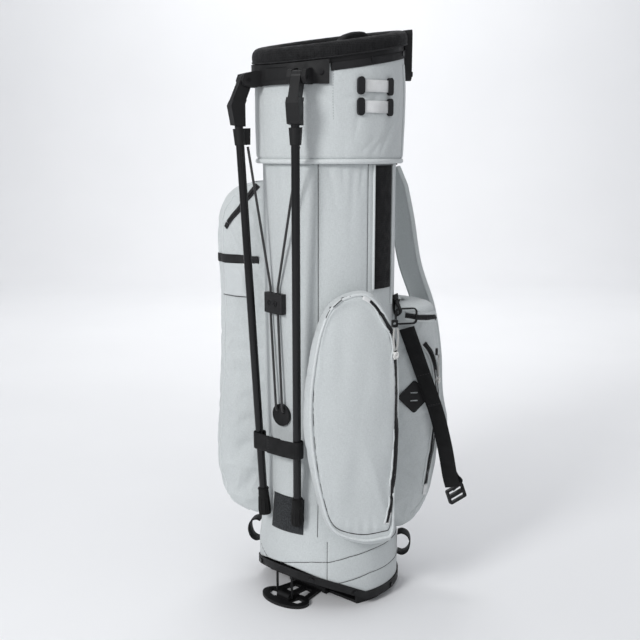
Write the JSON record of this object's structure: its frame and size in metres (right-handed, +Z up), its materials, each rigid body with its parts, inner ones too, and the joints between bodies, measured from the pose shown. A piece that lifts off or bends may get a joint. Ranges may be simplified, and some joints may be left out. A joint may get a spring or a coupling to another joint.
{
  "type": "golf stand bag",
  "caption": "Round golf stand bag with padded collar, stuffed side pockets, carry strap, folding legs and a foot lever that works them.",
  "frame": {"origin": "on the ground on the tube's axis, in the flat heel of the base", "axes": "+Z up along the tube, -Y the side the legs fold out to, +X to the right seen from that side"},
  "size_m": [0.3648, 0.3501, 0.9007],
  "materials": {
    "grey_fabric": "matt plain weave",
    "light_piping": "matt piping",
    "black_mesh": "open knit",
    "black_webbing": "ribbed webbing",
    "black_plastic": "fine moulded texture",
    "dark_zip": "coil zip",
    "zip_metal": "black zinc",
    "anodised_tube": "black anodised",
    "leg_rubber": "moulded rubber",
    "divider_cloth": "matt lining",
    "shock_cord": "braided sleeve",
    "white_cord": "braided cord",
    "strap_cloth": "padded mesh and cloth",
    "felt": "felt",
    "stay_rod": "glass-fibre rod",
    "steel": "bright steel"
  },
  "bodies": {
    "root": {"ball_pocket": "grey_fabric", "ball_pocket_side_zip": "dark_zip", "ball_pocket_top_zip": "dark_zip", "base_cup": "black_plastic", "base_pull_tabs": "black_webbing", "base_screws": "steel", "base_trim": "black_plastic", "body_tube": "grey_fabric", "collar_frame": "black_plastic", "collar_pad": "grey_fabric", "collar_piping": "light_piping", "collar_screws": "steel", "cord_anchor": "black_plastic", "cord_keeper": "black_webbing", "divider_panels": "divider_cloth", "divider_top": "black_plastic", "foot_hinge_pin": "steel", "frame_stays": "stay_rod", "hinge_pins": "steel", "lash_tab": "black_plastic", "left_pocket": "grey_fabric", "left_pocket_band": "black_webbing", "left_pocket_zip": "dark_zip", "leg_rest_pad": "felt", "lift_handle": "black_plastic", "mesh_panel": "black_mesh", "pull_cords": "white_cord", "pull_knots": "white_cord", "right_pocket": "grey_fabric", "right_pocket_piping": "light_piping", "right_pocket_zip": "dark_zip", "rim_pad": "black_mesh", "shock_cord_left": "shock_cord", "shock_cord_right": "shock_cord", "stand_bracket": "black_plastic", "strap_anchor": "black_webbing", "strap_buckle": "black_plastic", "strap_pad": "strap_cloth", "strap_ring": "black_plastic", "strap_webbing_end": "black_webbing", "strap_webbing_lower": "black_webbing", "strap_webbing_upper": "black_webbing", "tee_loop_eyelets": "black_plastic", "tee_loops": "light_piping", "top_rim": "black_plastic", "wire_guides": "black_plastic", "zip_sliders": "zip_metal"},
    "leg_left": {"leg_elbow_left": "black_plastic", "leg_tube_left": "anodised_tube", "leg_clip_left": "black_plastic", "leg_foot_left": "leg_rubber", "leg_strap_left": "black_webbing"},
    "leg_right": {"leg_elbow_right": "black_plastic", "leg_tube_right": "anodised_tube", "leg_clip_right": "black_plastic", "leg_foot_right": "leg_rubber", "leg_strap_right": "black_webbing"},
    "foot": {"foot_plate": "black_plastic"},
    "wire": {"actuator_wire": "steel", "lift_yoke": "black_plastic"}
  },
  "joints": [
    {"name": "leg_left_swing", "type": "hinge", "parent": "root", "child": "leg_left", "pos_m": [-0.05281, -0.12749, 0.814], "axis": [-0.9239, 0.3827, 0], "range_deg": [0, 36], "stiffness_Nm_per_rad": 2, "springref_deg": -17.19, "deforming": ["shock_cord_left"]},
    {"name": "leg_right_swing", "type": "hinge", "parent": "root", "child": "leg_right", "pos_m": [0.05281, -0.12749, 0.814], "axis": [-0.9239, -0.3827, 0], "range_deg": [0, 36], "stiffness_Nm_per_rad": 2, "springref_deg": -17.19, "deforming": ["shock_cord_right"]},
    {"name": "foot_fold", "type": "hinge", "parent": "root", "child": "foot", "pos_m": [0, -0.0485, 0.007], "axis": [-1, 0, 0], "range_deg": [0, 31]},
    {"name": "wire_tilt", "type": "hinge", "parent": "foot", "child": "wire", "pos_m": [0, -0.108, 0.007], "axis": [-1, 0, 0], "range_deg": [-31.62, 0]}
  ],
  "couplings": [
    {"joint": "leg_right_swing", "follows": "leg_left_swing", "ratio": 1},
    {"joint": "foot_fold", "follows": "leg_left_swing", "ratio": 0.8611},
    {"joint": "wire_tilt", "follows": "leg_left_swing", "ratio": -0.87846}
  ]
}
